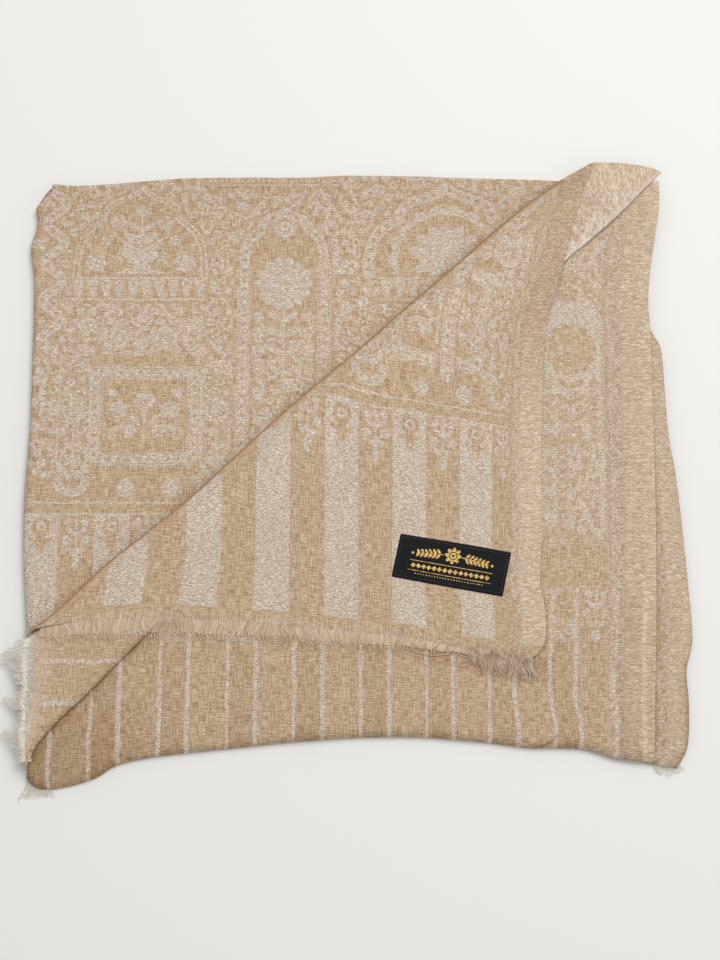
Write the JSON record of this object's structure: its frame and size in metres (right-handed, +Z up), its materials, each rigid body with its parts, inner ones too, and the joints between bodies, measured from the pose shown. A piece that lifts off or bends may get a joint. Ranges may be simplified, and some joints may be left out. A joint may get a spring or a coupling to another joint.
{
  "type": "folded pashmina shawl",
  "caption": "Woven fringed shawl folded to a flat square, with one corner of the top ply turned back on two diagonal folds to show its satin label.",
  "frame": {"origin": "centre of the box's footprint, on the surface that the folded shawl lies on", "axes": "+Z up; +Y towards the crosswise fold, away from the fringed ends; +X from the lengthwise fold towards the selvedges"},
  "size_m": [0.5068, 0.5008, 0.0172],
  "materials": {
    "shawl_cloth": "matt fine wool twill in sand with off-white figured floats and pale crepe selvedges",
    "fringe_yarn": "loose, slightly fuzzy warp yarn ends",
    "label_satin": "black woven satin with gold thread ornament and grey edge stitches"
  },
  "bodies": {
    "root": {"hidden_layers": "shawl_cloth", "lower_ply": "shawl_cloth", "inner_ply": "shawl_cloth", "top_ply": "shawl_cloth", "turned_strip": "shawl_cloth", "corner_flap": "shawl_cloth", "flap_fringe": "fringe_yarn", "side_fringe": "fringe_yarn", "left_tuft": "fringe_yarn", "right_tuft": "fringe_yarn", "label": "label_satin"}
  },
  "joints": []
}
